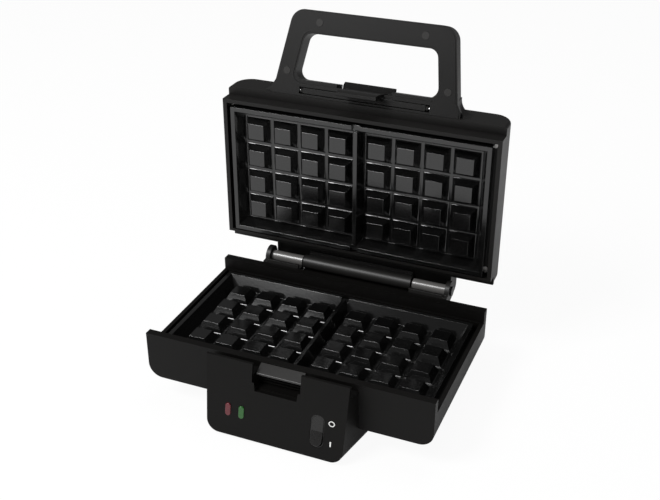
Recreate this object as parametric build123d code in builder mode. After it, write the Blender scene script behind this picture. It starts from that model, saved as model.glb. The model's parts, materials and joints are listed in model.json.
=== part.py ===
"""Belgian waffle maker, photographed with the lid open: one STEP file for each separate piece.

Millimetres, +Z up, the control panel faces -Y. Base pieces are drawn in base_frame, where y is the
distance behind the front lip and z the height above the table. Lid pieces are drawn as if the lid
were closed, in lid_frame, which carries them to the open pose.
"""
import os

from math import atan, copysign, cos, hypot, radians, sin, tan

from build123d import *

os.makedirs("parts", exist_ok=True)

# driving dimensions
wall = 2.5
foot_height = 3.0
foot_r = 7.0
rim_height = 52.0
lip_rise = 12.8
lip_thick = 6.5
rear_wall_rise = 11.0
rear_wall_thick = 7.4
tub_corner = 12.0
front_ledge = 4.8
side_ledge = 3.7
rear_ledge = 1.4
parting_rise = 1.4

# plates
plate_x_half = 117.3
plate_y_half = 59.7
plate_rim = 3.7
plate_gap = 4.0
plate_seat = 9.4
seat_overlap = 4.3
rim_drop = 0.2
divider_half = 1.6
divider_run = 3.3
wall_run = 5.7
cavity_depth = 11.3
pegs_each_way = 4
peg_drop = 3.7
peg_top = 14.5
peg_draft = 17.3
overflow_half = 3.5
plate_back = 14.5

# heating
element_d = 6.5
element_bend = 14.0
element_inset_x = 37.3
element_inset_y = 25.7
element_gap_half = 12.0
tray_depth = 22.4
tray_inset_x = 13.3
tray_inset_y = 11.7
tray_sheet = 0.8
screw_head = 1.7
tray_clearance = 3.0

# control housing
housing_over_lip = 4.7
catch_drop = 11.5
face_top_y = -12.3
face_slope = 0.174
housing_half = 59.0
housing_flare = 0.19
housing_straight = 60.0
housing_corner = 10.0
housing_setback = 1.5
notch_top_half = 20.8
notch_bottom_half = 18.1
notch_height = 22.5
catch_half = 19.4
catch_front = 9.5
trough_back = 0.5
cord_x = 45.0
cord_hole_r = 5.0

# lamps, switch and marks, placed on the sloping face from its top edge
lamp_x = (-40.5, -28.7)
lamp_v = -44.4
lens_long = 11.2
lens_wide = 4.8
switch_x = 36.8
switch_v = -43.7
switch_wide = 11.4
switch_long = 28.2
switch_rim = 0.6
switch_deep = 14.4
rocker_pivot = -4.0
rocker_rest = 9.0
fit = 0.1

# hinge
hinge_rise = 12.0
hinge_reach = 14.0
pin_r = 2.5
running_clearance = 0.08
sleeve_r = 4.8
sleeve_outer_x = 84.5
flange_r = 9.0
flange_thick = 4.0
barrel_half = 52.0
sleeve_gap = 1.4
barrel_r = 6.0
bracket_screws = (62.0, 76.0)
bracket_screw_drop = 12.5
bracket_screw_depth = 5.5

# lid
lid_gap = 1.4
lid_rim_skirt = 3.2
lid_front = 1.5
lid_over_lip = 2.2
lid_behind_lip = 2.5
lid_before_rear_wall = 1.1
lid_height = 27.0
lid_shoulder = 16.0
rim_front_edge = 3.3
rim_rear_edge = 2.4
hood_half = 85.0
hood_behind_hinge = 14.0
hood_over_hinge = 10.5

# handle
handle_over_ledge = 2.2
handle_bolt_rise = 10.3
handle_slope = 0.333
handle_depth = 14.5
cover_thick = 4.5
cover_inset = 1.4
handle_root_half = 83.0
handle_tip_half = 73.5
handle_length = 71.0
handle_corner = 12.5
handle_flare = 12.0
opening_low = 12.0
cover_opening_low = 9.2
opening_high = 51.5
opening_low_half = 64.5
opening_high_half = 59.5
opening_corner = 8.0
latch_pin_s = 3.1
latch_pin_depth = 2.3
latch_pin_r = 1.2
bar_half_high = 2.5
bar_gap = 0.5
tab_half = 23.8
hook_half = 17.5

# what follows from them
middle = rim_height + parting_rise
width = 2 * (plate_x_half + plate_gap + side_ledge)
plate_y = lip_thick + front_ledge + plate_gap + plate_y_half
depth = plate_y + plate_y_half + plate_gap + rear_ledge + rear_wall_thick
tub_bottom = middle - tray_depth - tray_sheet - screw_head - tray_clearance - wall
lip_height = rim_height + lip_rise
rear_wall_height = rim_height + rear_wall_rise
cavity_floor_half = (plate_x_half - plate_rim - wall_run - divider_run - divider_half) / 2
cavity_floor_y_half = plate_y_half - plate_rim - wall_run
cavity_x = divider_half + divider_run + cavity_floor_half
peg_pitch_x = 2 * cavity_floor_half / pegs_each_way
peg_pitch_y = 2 * cavity_floor_y_half / pegs_each_way
hinge_y = depth + hinge_reach
hinge_z = rim_height + hinge_rise
sleeve_inner_x = barrel_half + sleeve_gap
lid_rim_low = middle + lid_gap
lid_seam = lid_rim_low + lid_rim_skirt
lid_ledge = lip_height + lid_over_lip
lid_recess_y = lip_thick + lid_behind_lip
lid_rear_rim_y = depth - rear_wall_thick - lid_before_rear_wall
lid_rear_ledge = rear_wall_height + 2.0
lid_top = lid_ledge + lid_height
hood_rear = hinge_y + hood_behind_hinge
hood_under = hinge_z + hood_over_hinge
handle_z = lid_ledge + handle_over_ledge
handle_bolt_z = handle_z + handle_bolt_rise
housing_top = lip_height + housing_over_lip
housing_rear = depth - housing_setback
catch_height = housing_top - catch_drop
cord_z = (foot_height + tub_bottom) / 2 + 1
face_bottom_y = face_top_y - face_slope * (housing_top - foot_height)

# the whole piece is centred on the origin in its photographed pose
tilt = atan(handle_slope)
open_back_y = hinge_y - hinge_z + handle_z + handle_length * sin(tilt) + handle_depth * cos(tilt)
front_y = -(face_bottom_y + open_back_y) / 2

base_frame = Plane(origin=(0, front_y, 0))
base_side = Plane(origin=(0, front_y, 0), x_dir=(0, 1, 0), z_dir=(1, 0, 0))


def lid_point(x, y, z):
    """A point of the closed lid, carried to the open pose."""
    return (x, front_y + hinge_y - hinge_z + z, hinge_z + hinge_y - y)


lid_frame = Plane(origin=lid_point(0, 0, 0), x_dir=(1, 0, 0), z_dir=(0, 1, 0))
lid_side = Plane(origin=lid_point(0, 0, 0), x_dir=(0, 0, -1), z_dir=(1, 0, 0))

# the two plates share these frames: origin on the meeting plane, normal towards the waffle
lower_frame = Plane(origin=(0, front_y + plate_y, middle))
upper_frame = Plane(origin=lid_point(0, plate_y, middle), x_dir=(1, 0, 0), z_dir=(0, -1, 0))

# the sloping control face, normal outwards, y along the slope from its top edge
slope_unit = hypot(1, face_slope)
face_frame = Plane(
    origin=(0, front_y + face_top_y, housing_top),
    x_dir=(1, 0, 0),
    z_dir=(0, -1 / slope_unit, face_slope / slope_unit),
)

# the handle's visible face, normal into the handle, -y towards the tip of the handle
handle_frame = Plane(origin=lid_point(0, 0, handle_z), x_dir=(1, 0, 0), z_dir=(0, cos(tilt), -sin(tilt)))
handle_side = Plane(origin=handle_frame.origin, x_dir=(0, sin(tilt), cos(tilt)), z_dir=(1, 0, 0))


def block(frame, x, y, z, mode=Mode.ADD):
    """A box in a frame, given as three (low, high) ranges."""
    size = (x[1] - x[0], y[1] - y[0], z[1] - z[0])
    centre = ((x[0] + x[1]) / 2, (y[0] + y[1]) / 2, (z[0] + z[1]) / 2)
    with Locations(frame.location * Location(centre)):
        Box(*size, mode=mode)


def rod(side, y, z, radius, x, mode=Mode.ADD):
    """A round bar along X, in a side plane, between two x values."""
    with BuildSketch(side.offset(x[0])) as section:
        with Locations((y, z)):
            Circle(radius)
    extrude(section.sketch, amount=x[1] - x[0], mode=mode)


def prism(side, points, x, mode=Mode.ADD):
    """A side outline carried along X between two x values."""
    with BuildSketch(side.offset(x[0])) as section:
        with BuildLine():
            Polyline(*points, close=True)
        make_face()
    extrude(section.sketch, amount=x[1] - x[0], mode=mode)


def face_y(z):
    """Where the sloping control face stands at a height."""
    return face_top_y - face_slope * (housing_top - z)


def front_view(y):
    """The upright plane facing the user at a distance behind the front lip."""
    return Plane(origin=(0, front_y + y, 0), x_dir=(1, 0, 0), z_dir=(0, -1, 0))


def tub_section(inset, y, z, mode=Mode.ADD):
    """The tub's front outline with its rounded lower corners, carried backwards."""
    with BuildSketch(front_view(y[0])) as section:
        with Locations((0, (z[0] + z[1]) / 2)):
            Rectangle(width - 2 * inset, z[1] - z[0])
        fillet(section.vertices().group_by(Axis.Y)[0], tub_corner - inset)
    extrude(section.sketch, amount=y[0] - y[1], mode=mode)


def peg(frame, places, radius, z, mode=Mode.ADD):
    """Round posts or holes standing on a frame's own plane."""
    with BuildSketch(frame.offset(z[0])) as section:
        with Locations(*places):
            Circle(radius)
    extrude(section.sketch, amount=z[1] - z[0], mode=mode)


# screw places shared by the pieces they pass through
def four(x_near, y_near, x_far, y_far):
    """Two places near the user and two farther back, the same left and right."""
    return [(-x_near, y_near), (x_near, y_near), (-x_far, y_far), (x_far, y_far)]


floor_front_half = housing_half - housing_corner - 3
floor_rear_half = housing_half + 3
floor_y = (face_bottom_y + 12, housing_rear - 6)
feet = four(floor_front_half - foot_r - 1, 0, floor_rear_half - foot_r - 3, floor_y[1] - foot_r - 3)
cover_screws = four(floor_front_half - 22, 8, floor_rear_half - 18, floor_y[1] - 36)
seat_x = plate_x_half - seat_overlap
seat_y = (plate_y - plate_y_half + seat_overlap, plate_y + plate_y_half - seat_overlap)
opening_x = plate_x_half + plate_gap
lid_opening_y = (lid_recess_y + rim_front_edge, lid_rear_rim_y - rim_rear_edge)
post_r = 4.0
beside = post_r + 0.2
rim_screw_x = opening_x - beside
rim_screws = four(rim_screw_x, lid_opening_y[0] + beside, rim_screw_x, lid_opening_y[1] - beside)
post_x = plate_x_half - tray_inset_x - 8
plate_screws = four(post_x, -plate_y_half / 3, post_x, plate_y_half / 3) + [(-22, 0), (22, 0)]
tip_bar_s = (opening_high + handle_length) / 2
leg_x = (handle_root_half + opening_low_half) / 2 - 1.9
handle_screws = four(opening_high_half - 12.7, -tip_bar_s, leg_x, -18.4)
hood_screws = [(-38, hinge_y + 8), (38, hinge_y + 8)]
bracket_screw_z = hinge_z - bracket_screw_drop
slot_half = opening_low_half - 6
lug_outer = slot_half - 1.1
lug_inner = lug_outer - 2.1

# tub with its raised front lip and rear wall
opening_y = (plate_y - plate_y_half - plate_gap, plate_y + plate_y_half + plate_gap)
seat_high = middle - plate_seat
seat_low = seat_high - wall

with BuildPart() as base_shell:
    tub_section(0, (0, depth), (tub_bottom, rim_height))
    block(base_frame, (-width / 2, width / 2), (0, lip_thick), (rim_height - 4, lip_height))
    rear = (depth - rear_wall_thick, depth)
    block(base_frame, (-width / 2, width / 2), rear, (rim_height - 4, rear_wall_height))
    tub_section(wall, (wall, depth - wall), (tub_bottom + wall, seat_low), Mode.SUBTRACT)
    block(base_frame, (-seat_x, seat_x), seat_y, (seat_low - 1, seat_high + 1), Mode.SUBTRACT)
    top = (seat_high, rear_wall_height + 5)
    block(base_frame, (-opening_x, opening_x), opening_y, top, Mode.SUBTRACT)
    # hollow core of the rear wall, open below into the tub
    core = (depth - rear_wall_thick + 2.2, depth - wall)
    core_x = width / 2 - 2 * wall
    block(base_frame, (-core_x, core_x), core, (seat_low - 1, rear_wall_height - wall), Mode.SUBTRACT)
    # way down into the control housing
    way_half = housing_half - housing_corner + 1
    way_y = (lip_thick + 7.5, plate_y - 15)
    block(base_frame, (-way_half, way_half), way_y, (tub_bottom - 1, tub_bottom + wall + 1), Mode.SUBTRACT)
    # screw posts for the bottom cover
    peg(base_frame, cover_screws, post_r, (foot_height + wall, tub_bottom + wall))
    peg(base_frame, cover_screws, 1.4, (foot_height + wall, tub_bottom), Mode.SUBTRACT)
    # shelf behind the rear wall, under the barrel of the hinge
    shelf_top = hinge_z - barrel_r - 1.5
    shelf_end = hinge_y + 1.5
    shelf = [(depth - 1, shelf_top - 12), (depth - 1, shelf_top), (shelf_end, shelf_top)]
    shelf += [(shelf_end, shelf_top - 3), (depth + 1, shelf_top - 12)]
    prism(base_side, shelf, (-barrel_half + 1, barrel_half - 1))
    # the bracket screws
    for side in (-1, 1):
        with BuildSketch(front_view(depth + 1)):
            with Locations(*[(side * x, bracket_screw_z) for x in bracket_screws]):
                Circle(1.5)
        extrude(amount=bracket_screw_depth + 1, mode=Mode.SUBTRACT)
base_shell.part.label = "base_shell"
export_step(base_shell.part, "parts/base_shell.step")


def housing_solid(inset, low):
    """The control housing's outer form, pulled in by inset, from the height low upwards."""
    top = housing_top if inset == 0 else catch_height - 1.5
    face = face_top_y + inset * slope_unit
    front_low = face - face_slope * (housing_top - low)
    front_high = face - face_slope * (housing_top - top)
    tub = 0 if inset == 0 else -wall
    under = tub_bottom if inset == 0 else tub_bottom + 0.01
    rear_end = housing_rear - inset
    outline = [(front_low, low), (front_high, top), (tub, top), (tub, under)]
    outline += [(rear_end, under), (rear_end, low)]
    prism(base_side, outline, (-width / 2, width / 2))
    half = housing_half - inset
    start = face_bottom_y - 5
    straight = housing_straight
    near = half - housing_flare * 5
    far = half + housing_flare * (straight - face_bottom_y)
    beyond = depth + 50
    plan = [(-near, start), (-far, straight), (-far, beyond), (far, beyond), (far, straight), (near, start)]
    with BuildSketch(base_frame) as section:
        with BuildLine():
            Polyline(*plan, close=True)
        make_face()
    extrude(section.sketch, amount=100, mode=Mode.INTERSECT)
    edges = [e for e in part_edges() if is_bottom_side(e, low)]
    fillet(edges, housing_corner - inset)


def part_edges():
    """Edges of the piece being built."""
    return BuildPart._get_context().edges()


def is_bottom_side(edge, low):
    """True for the long bottom edges at the left and right."""
    middle_point = edge @ 0.5
    runs_back = abs((edge % 0.5).Y) > 0.8
    return runs_back and abs(middle_point.Z - low) < 0.01


def floor_outline(gap):
    """The floor opening and, pulled in by a gap, the cover that closes it."""
    front_half, rear_half = floor_front_half - gap, floor_rear_half - gap
    front_end, rear_end = floor_y[0] + gap, floor_y[1] - gap
    return [(-front_half, front_end), (front_half, front_end), (rear_half, rear_end), (-rear_half, rear_end)]


with BuildPart() as housing_core:
    housing_solid(wall, foot_height + wall)

with BuildPart() as control_housing:
    housing_solid(0, foot_height)
    add(housing_core.part, mode=Mode.SUBTRACT)
    # open top under the tub
    open_half = housing_half + 11
    open_y = (wall, housing_rear - wall)
    block(base_frame, (-open_half, open_half), open_y, (tub_bottom - 2, tub_bottom + 1), Mode.SUBTRACT)
    # trough behind the face for the latch bar
    trough = [(face_top_y + wall, housing_top + 1), (trough_back, housing_top + 1)]
    trough += [(trough_back, catch_height + 1), (face_top_y - 2 + wall, catch_height + 1)]
    prism(base_side, trough, (-width / 2, width / 2), Mode.SUBTRACT)
    # notch for the latch, with grip ribs on its back
    low = housing_top - notch_height
    pocket = [(face_y(low - wall), low - wall), (face_y(catch_height + 1), catch_height + 1)]
    pocket_half = notch_top_half + 3.2
    prism(base_side, pocket + [(-0.02, catch_height + 1), (-0.02, low - wall)], (-pocket_half, pocket_half))
    notch_x = (-notch_top_half, notch_top_half)
    block(base_frame, notch_x, (face_top_y - 2.7, -wall), (low, housing_top + 1), Mode.SUBTRACT)
    with BuildSketch(face_frame.offset(3)):
        with BuildLine():
            drop = notch_height * slope_unit
            points = [(-notch_top_half, 1), (notch_top_half, 1)]
            points += [(notch_bottom_half, -drop), (-notch_bottom_half, -drop)]
            Polyline(*points, close=True)
        make_face()
    extrude(amount=-8, mode=Mode.SUBTRACT)
    free = (catch_height - 0.6, housing_top + 1)
    block(base_frame, notch_x, (-wall - 1, 1), free, Mode.SUBTRACT)
    rib_half = notch_bottom_half - 1.6
    for step in range(3):
        height = low + 1.6 + 2.9 * step
        block(base_frame, (-rib_half, rib_half), (-wall - 1.7, -wall + 0.1), (height, height + 1.3))
    # windows for the lenses, the rocker and the marks
    with BuildSketch(face_frame.offset(1)):
        with Locations(*[(x, lamp_v) for x in lamp_x]):
            SlotOverall(lens_long + 2 * fit, lens_wide + 2 * fit, rotation=90)
        with Locations((switch_x, switch_v)):
            RectangleRounded(switch_wide + 2 * fit, switch_long + 2 * fit, switch_wide / 2 - 0.5)
    extrude(amount=-wall - 2, mode=Mode.SUBTRACT)
    # floor opening closed by the bottom cover
    with BuildSketch(base_frame.offset(foot_height - 1)):
        with BuildLine():
            Polyline(*floor_outline(0), close=True)
        make_face()
    extrude(amount=wall + 2, mode=Mode.SUBTRACT)
    # rear cord hole
    with BuildSketch(front_view(housing_rear + 1)):
        with Locations((cord_x, cord_z)):
            Circle(cord_hole_r)
    extrude(amount=wall + 2, mode=Mode.SUBTRACT)
control_housing.part.label = "control_housing"
export_step(control_housing.part, "parts/control_housing.step")


with BuildPart() as bottom_cover:
    with BuildSketch(base_frame.offset(foot_height)):
        with BuildLine():
            Polyline(*floor_outline(0.2), close=True)
        make_face()
    extrude(amount=wall)
    peg(base_frame, cover_screws, 1.7, (foot_height - 1, foot_height + wall + 1), Mode.SUBTRACT)
    # air slots
    slot_x = floor_front_half - 24
    through = (foot_height - 1, foot_height + wall + 1)
    for row in range(6):
        front = plate_y - 31 + 7 * row
        block(base_frame, (-slot_x, slot_x), (front, front + 3), through, Mode.SUBTRACT)
bottom_cover.part.label = "bottom_cover"
export_step(bottom_cover.part, "parts/bottom_cover.step")

with BuildPart() as rubber_feet:
    peg(base_frame, feet, foot_r, (0, foot_height))
    chamfer(rubber_feet.faces().sort_by(Axis.Z)[:4].edges(), 0.8)
rubber_feet.part.label = "rubber_feet"
export_step(rubber_feet.part, "parts/rubber_feet.step")

with BuildPart() as cover_screw_set:
    peg(base_frame, cover_screws, 2.9, (foot_height - 1.6, foot_height))
    peg(base_frame, cover_screws, 1.35, (foot_height - 0.1, foot_height + 14))
cover_screw_set.part.label = "cover_screws"
export_step(cover_screw_set.part, "parts/cover_screws.step")


def waffle_plate(frame):
    """One baking plate: rimmed slab, two cavities of square pegs, screw posts on its back."""
    x_half, y_half = plate_x_half, plate_y_half
    block(frame, (-x_half, x_half), (-y_half, y_half), (-plate_seat, -rim_drop))
    under_x, under_y = seat_x - 2, y_half - seat_overlap - 2.1
    block(frame, (-under_x, under_x), (-under_y, under_y), (-plate_back, -plate_seat + 0.5))
    floor = -rim_drop - cavity_depth
    top_inner = divider_half
    top_outer = x_half - plate_rim
    for side in (-1, 1):
        with BuildSketch(frame.offset(floor)) as bed:
            with Locations((side * cavity_x, 0)):
                Rectangle(2 * cavity_floor_half, 2 * cavity_floor_y_half)
        with BuildSketch(frame.offset(-rim_drop + 0.01)) as mouth:
            with Locations((side * (top_inner + top_outer) / 2, 0)):
                Rectangle(top_outer - top_inner, 2 * (y_half - plate_rim))
        loft([bed.sketch, mouth.sketch], mode=Mode.SUBTRACT)
    rise = -peg_drop - floor
    foot = peg_top + 2 * rise * tan(radians(peg_draft))
    with BuildSketch(frame.offset(floor - 0.01)) as pegs:
        with Locations((-cavity_x, 0), (cavity_x, 0)):
            with GridLocations(peg_pitch_x, peg_pitch_y, pegs_each_way, pegs_each_way):
                Rectangle(foot, foot)
    extrude(pegs.sketch, amount=rise, taper=peg_draft)
    # overflow notches in the rim, in line with the divider
    for end in (-1, 1):
        edge = sorted((end * (y_half - plate_rim - 1), end * (y_half + 1)))
        block(frame, (-overflow_half, overflow_half), edge, (-3.0, 1), Mode.SUBTRACT)
    peg(frame, plate_screws, 4.0, (-tray_depth, -plate_back + 0.5))
    peg(frame, plate_screws, 1.4, (-tray_depth, -plate_back + 1.5), Mode.SUBTRACT)


element_side = plate_x_half - element_inset_x
element_far = plate_y_half - element_inset_y


def heating_element(frame):
    """A tubular element looped round under both cavities, with a pin at each end."""
    radius = element_d / 2
    level = frame.offset(-plate_back - radius)
    far, side, gap = element_far, element_side, element_gap_half
    near = -far
    run = [(-gap, near), (-side, near), (-side, far), (side, far), (side, near), (gap, near)]
    with BuildLine(level) as path:
        FilletPolyline(*run, radius=element_bend)
    with BuildSketch(Plane(origin=path.line @ 0, z_dir=path.line % 0)) as section:
        Circle(radius)
    sweep(section.sketch, path=path.line)
    for end in (-1, 1):
        start = level.from_local_coords((end * gap, near, 0))
        with BuildSketch(Plane(origin=start, z_dir=(-end, 0, 0))) as tip:
            Circle(1.6)
        extrude(tip.sketch, amount=7)


def element_clamps(frame):
    """Straps that hold the element against the back of the plate."""
    low = -plate_back - element_d - 1.0
    strap_x = element_side / 2 + 4
    places = [(x, 0, 0) for x in (-element_side, element_side)]
    places += [(x, y, 90) for x in (-strap_x, strap_x) for y in (-element_far, element_far)]
    for x, y, across in places:
        centre = frame.location * Location((x, y, (low - plate_back) / 2), (0, 0, across))
        with Locations(centre):
            Box(14, 8, -plate_back - low)
        slot = frame.location * Location((x, y, -plate_back - element_d / 2), (0, 0, across))
        with Locations(slot):
            Box(element_d, 9, element_d, mode=Mode.SUBTRACT)


def heat_tray(frame):
    """A shallow sheet tray round the element, open towards the plate."""
    sheet = tray_sheet
    x_half, y_half = plate_x_half - tray_inset_x, plate_y_half - tray_inset_y
    block(frame, (-x_half, x_half), (-y_half, y_half), (-tray_depth - sheet, -plate_back))
    inner = (-x_half + sheet, x_half - sheet)
    block(frame, inner, (-y_half + sheet, y_half - sheet), (-tray_depth, -plate_back + 1), Mode.SUBTRACT)
    peg(frame, plate_screws, 1.6, (-tray_depth - 2, -tray_depth + 1), Mode.SUBTRACT)
    leads = [(x, -element_far) for x in (-3.9, 3.9)]
    peg(frame, leads, 2.0, (-tray_depth - 2, -tray_depth + 1), Mode.SUBTRACT)


def tray_screws(frame):
    """Screws from the back of the tray into the posts of the plate."""
    under = -tray_depth - tray_sheet
    peg(frame, plate_screws, 2.9, (under - screw_head, under))
    peg(frame, plate_screws, 1.35, (-tray_depth - 1, -plate_back - 1))


with BuildPart() as lower_plate:
    waffle_plate(lower_frame)
lower_plate.part.label = "lower_plate"
export_step(lower_plate.part, "parts/lower_plate.step")

with BuildPart() as lower_element:
    heating_element(lower_frame)
lower_element.part.label = "lower_element"
export_step(lower_element.part, "parts/lower_element.step")

with BuildPart() as lower_clamps:
    element_clamps(lower_frame)
lower_clamps.part.label = "lower_clamps"
export_step(lower_clamps.part, "parts/lower_clamps.step")

with BuildPart() as lower_tray:
    heat_tray(lower_frame)
lower_tray.part.label = "lower_tray"
export_step(lower_tray.part, "parts/lower_tray.step")

with BuildPart() as lower_tray_screws:
    tray_screws(lower_frame)
lower_tray_screws.part.label = "lower_tray_screws"
export_step(lower_tray_screws.part, "parts/lower_tray_screws.step")

# thermostat and fuses clipped to the backs of the plates
with BuildPart() as thermostat:
    peg(lower_frame, [(0, 0)], 9.0, (-plate_back - 5, -plate_back))
    peg(lower_frame, [(0, 0)], 5.5, (-plate_back - 7.4, -plate_back - 4.9))
    for side in (-1, 1):
        tab = sorted((side * 8, side * 14))
        block(lower_frame, tab, (-2.4, 2.4), (-plate_back - 3.6, -plate_back - 2.8))
thermostat.part.label = "thermostat"
export_step(thermostat.part, "parts/thermostat.step")


def fuse(frame):
    """A thermal fuse on the back of a plate: a small can with a lead at each end."""
    level = frame.offset(-plate_back - 2.2)
    for x, radius, length in ((-50, 2.2, 14), (-57, 0.6, 28)):
        start = level.from_local_coords((x, 8, 0))
        with BuildSketch(Plane(origin=start, z_dir=(1, 0, 0))) as section:
            Circle(radius)
        extrude(section.sketch, amount=length)


with BuildPart() as base_fuse:
    fuse(lower_frame)
base_fuse.part.label = "base_fuse"
export_step(base_fuse.part, "parts/base_fuse.step")

# signal lamps behind the sloping face
def lens(x):
    """A capsule lens pressed into the face from behind."""
    with BuildSketch(face_frame.offset(-wall)) as stem:
        with Locations((x, lamp_v)):
            SlotOverall(lens_long, lens_wide, rotation=90)
    extrude(stem.sketch, amount=wall + 0.9)
    with BuildSketch(face_frame.offset(-wall)) as collar:
        with Locations((x, lamp_v)):
            SlotOverall(lens_long + 2.2, lens_wide + 2.4, rotation=90)
    extrude(collar.sketch, amount=-1.0)


with BuildPart() as red_lens:
    lens(lamp_x[0])
    fillet(red_lens.faces().sort_by(Axis.Y)[0].edges(), 0.6)
red_lens.part.label = "red_lens"
export_step(red_lens.part, "parts/red_lens.step")

with BuildPart() as green_lens:
    lens(lamp_x[1])
    fillet(green_lens.faces().sort_by(Axis.Y)[0].edges(), 0.6)
green_lens.part.label = "green_lens"
export_step(green_lens.part, "parts/green_lens.step")

with BuildPart() as lamp_holder:
    ends = (lamp_x[0] - 9.5, lamp_x[1] + 9.5)
    block(face_frame, ends, (lamp_v - 7.5, lamp_v + 7.5), (-9.5, -wall - 1.0))
    for ear in ((ends[0], ends[0] + 3.4), (ends[1] - 3.4, ends[1])):
        block(face_frame, ear, (lamp_v - 5, lamp_v + 5), (-4, -wall))
    peg(face_frame, [(x, lamp_v) for x in lamp_x], 2.7, (-10, -3), Mode.SUBTRACT)
lamp_holder.part.label = "lamp_holder"
export_step(lamp_holder.part, "parts/lamp_holder.step")

with BuildPart() as signal_lamps:
    peg(face_frame, [(x, lamp_v) for x in lamp_x], 2.6, (-12.5, -4.0))
    fillet(signal_lamps.faces().sort_by(Axis.Y)[:2].edges(), 1.0)
signal_lamps.part.label = "signal_lamps"
export_step(signal_lamps.part, "parts/signal_lamps.step")

# switch
well_wide = switch_wide - 2 * switch_rim
well_long = switch_long - 2 * switch_rim - 0.4
stub_half = well_wide / 2 + 1.1

with BuildPart() as switch_body:
    with BuildSketch(face_frame.offset(-0.3)):
        with Locations((switch_x, switch_v)):
            RectangleRounded(switch_wide, switch_long, switch_wide / 2 - 0.6)
    extrude(amount=-wall)
    across = (switch_x - switch_wide / 2 - 1.7, switch_x + switch_wide / 2 + 1.7)
    along = (switch_v - switch_long / 2 - 1.4, switch_v + switch_long / 2 + 1.4)
    block(face_frame, across, along, (-switch_deep, -wall))
    with BuildSketch(face_frame.offset(0)):
        with Locations((switch_x, switch_v)):
            RectangleRounded(well_wide, well_long, well_wide / 2 - 0.2)
    extrude(amount=-10, mode=Mode.SUBTRACT)
    pivot = face_frame.from_local_coords((switch_x - stub_half - 0.4, switch_v, rocker_pivot))
    with BuildSketch(Plane(origin=pivot, z_dir=(1, 0, 0))):
        Circle(1.28)
    extrude(amount=2 * stub_half + 0.8, mode=Mode.SUBTRACT)
switch_body.part.label = "switch_body"
export_step(switch_body.part, "parts/switch_body.step")

rocker_place = face_frame.location * Location((switch_x, switch_v, rocker_pivot), (-rocker_rest, 0, 0))
rocker_frame = Plane(rocker_place)

with BuildPart() as rocker:
    sides = Plane(origin=rocker_frame.origin, x_dir=rocker_frame.y_dir, z_dir=(1, 0, 0))
    end = well_long / 2 - 0.9
    outline = [(-end, 5.4), (0, 4.6), (end, 5.4), (end, 1), (end / 2, -3), (-end / 2, -3), (-end, 1)]
    prism(sides, outline, (-switch_wide / 2, switch_wide / 2))
    with BuildSketch(rocker_frame.offset(-5)):
        RectangleRounded(well_wide - 0.4, 2 * end, well_wide / 2 - 0.5)
    extrude(amount=12, mode=Mode.INTERSECT)
    fillet(rocker.faces().sort_by(Axis.Y)[:1].edges(), 0.4)
    rod(sides, 0, 0, 1.2, (-stub_half, stub_half))
rocker.part.label = "rocker"
export_step(rocker.part, "parts/rocker.step")

with BuildPart() as switch_tabs:
    for row in (-11, -5.5, 0):
        tab = (switch_v + row, switch_v + row + 0.8)
        block(face_frame, (switch_x - 3.1, switch_x + 3.1), tab, (-switch_deep - 2.6, -switch_deep))
switch_tabs.part.label = "switch_tabs"
export_step(switch_tabs.part, "parts/switch_tabs.step")

mark_x = switch_x + switch_wide / 2 + 6.1

with BuildPart() as mark_off:
    with BuildSketch(face_frame):
        with Locations((mark_x, switch_v + 9.7)):
            Ellipse(2.6, 2.35)
            Ellipse(1.9, 1.65, mode=Mode.SUBTRACT)
    extrude(amount=0.2)
mark_off.part.label = "mark_off"
export_step(mark_off.part, "parts/mark_off.step")

with BuildPart() as mark_on:
    with BuildSketch(face_frame):
        with Locations((mark_x, switch_v - 8.1)):
            Rectangle(1.1, 4.3)
    extrude(amount=0.2)
mark_on.part.label = "mark_on"
export_step(mark_on.part, "parts/mark_on.step")

with BuildPart() as latch_catch:
    ramp = [(-catch_front, catch_height), (-catch_front, catch_height + 1.8), (0, catch_height + 6.2)]
    prism(base_side, ramp + [(0, catch_height)], (-catch_half, catch_half))
latch_catch.part.label = "latch_catch"
export_step(latch_catch.part, "parts/latch_catch.step")


def hinge_bracket(side):
    """A bracket on the rear wall: plate, shelf, sleeve round the pin, end flange and the stop for the lid."""
    shelf = (hinge_z - 8, hinge_z - 3.5)
    inner, outer = side * sleeve_inner_x, side * sleeve_outer_x
    far = outer + side * flange_thick
    span = tuple(sorted((inner, outer)))
    low, high = rear_wall_height - 17, rear_wall_height - 0.5
    plate = [(depth, low), (depth, high), (depth + 0.6, high), (depth + 0.6, hinge_z + 2)]
    plate += [(depth + 3, hinge_z + 2), (depth + 3, low)]
    prism(base_side, plate, span)
    block(base_frame, span, (depth, hinge_y), shelf)
    stop = hinge_y + hood_under - hinge_z - 0.02
    stop_x = tuple(side * x for x in bracket_screws)
    block(base_frame, tuple(sorted(stop_x)), (hinge_y - 1, stop), shelf)
    for x in (inner + side * 3, outer - side * 3):
        web = [(depth, low + 2), (depth + 3, low + 2), (hinge_y - 1, shelf[0] + 0.5), (depth, shelf[0] + 0.5)]
        prism(base_side, web, (x - 1.5, x + 1.5))
    rod(base_side, hinge_y, hinge_z, sleeve_r, span)
    rod(base_side, hinge_y, hinge_z, flange_r, tuple(sorted((outer, far))))
    arm = [(depth, low + 4), (depth, hinge_z), (hinge_y, hinge_z), (hinge_y, hinge_z - flange_r)]
    prism(base_side, arm + [(depth + 5, low + 4)], tuple(sorted((outer, far))))
    rod(base_side, hinge_y, hinge_z, pin_r + 0.02, (-pin_end, pin_end), Mode.SUBTRACT)
    for x in bracket_screws:
        with BuildSketch(front_view(depth)) as hole:
            with Locations((side * x, bracket_screw_z)):
                Circle(1.9)
        extrude(hole.sketch, amount=-4, mode=Mode.SUBTRACT)


pin_end = sleeve_outer_x + flange_thick + 1.6

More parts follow.
